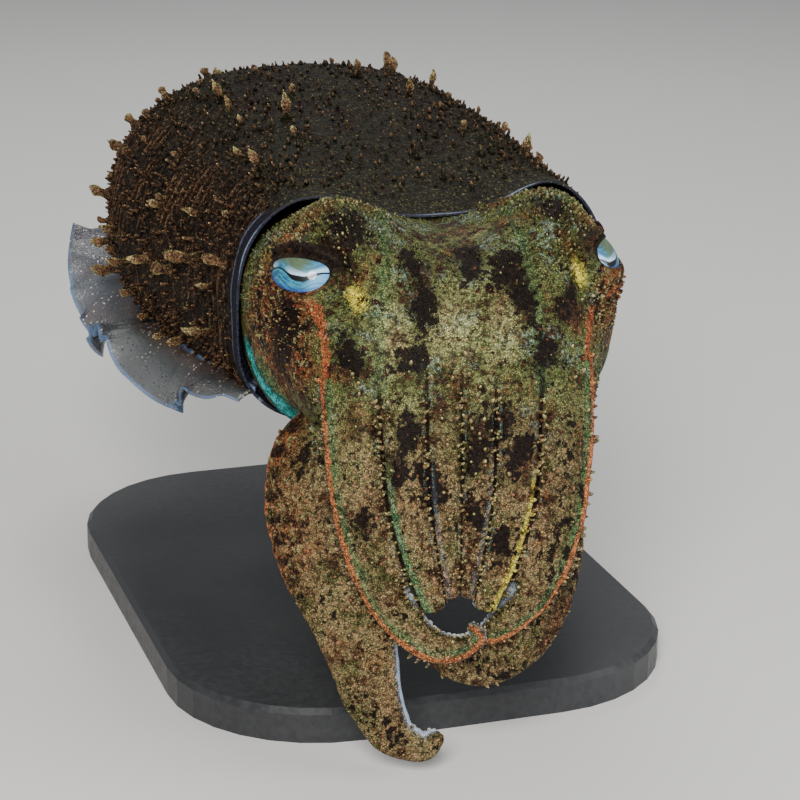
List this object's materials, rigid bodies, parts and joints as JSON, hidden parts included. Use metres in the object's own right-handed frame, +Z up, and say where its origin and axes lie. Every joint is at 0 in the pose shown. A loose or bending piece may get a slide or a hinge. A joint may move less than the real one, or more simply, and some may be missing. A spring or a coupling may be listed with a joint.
{
  "type": "broadclub cuttlefish model",
  "caption": "Life-size still model of a broadclub cuttlefish, head and arms drooping, on a plain two-rod display stand.",
  "frame": {"origin": "centre of the stand base's underside, on the floor", "axes": "+Z up, the animal faces -Y, its right side is -X"},
  "size_m": [0.1533, 0.3073, 0.1632],
  "materials": {
    "mantle_skin": "wet skin, dark maroon brown with low ridges that run round it and tan papillae",
    "head_skin": "wet granular skin, olive and tan with dark brown blotches",
    "arm_skin": "wet granular skin, tan brown with orange and green edge lines",
    "fin_skin": "thin, nearly clear membrane with a blue edge",
    "eye": "glossy blue white iris with a wavy black slit pupil",
    "stand_plate": "satin black plate",
    "stand_steel": "brushed steel rod"
  },
  "bodies": {
    "root": {"mantle": "mantle_skin", "fin_right": "fin_skin", "fin_left": "fin_skin", "head": "head_skin", "eye_right": "eye", "eye_left": "eye", "funnel": "head_skin", "arm_1_right": "arm_skin", "arm_1_left": "arm_skin", "arm_2_right": "arm_skin", "arm_2_left": "arm_skin", "arm_3_right_base": "arm_skin", "arm_3_right_tip": "arm_skin", "arm_3_left_base": "arm_skin", "arm_3_left_tip": "arm_skin", "arm_4_right_base": "arm_skin", "arm_4_right_middle": "arm_skin", "arm_4_right_tip": "arm_skin", "arm_4_left_base": "arm_skin", "arm_4_left_middle": "arm_skin", "arm_4_left_tip": "arm_skin", "stand_base": "stand_plate", "stand_rod_front": "stand_steel", "stand_rod_rear": "stand_steel"}
  },
  "joints": []
}
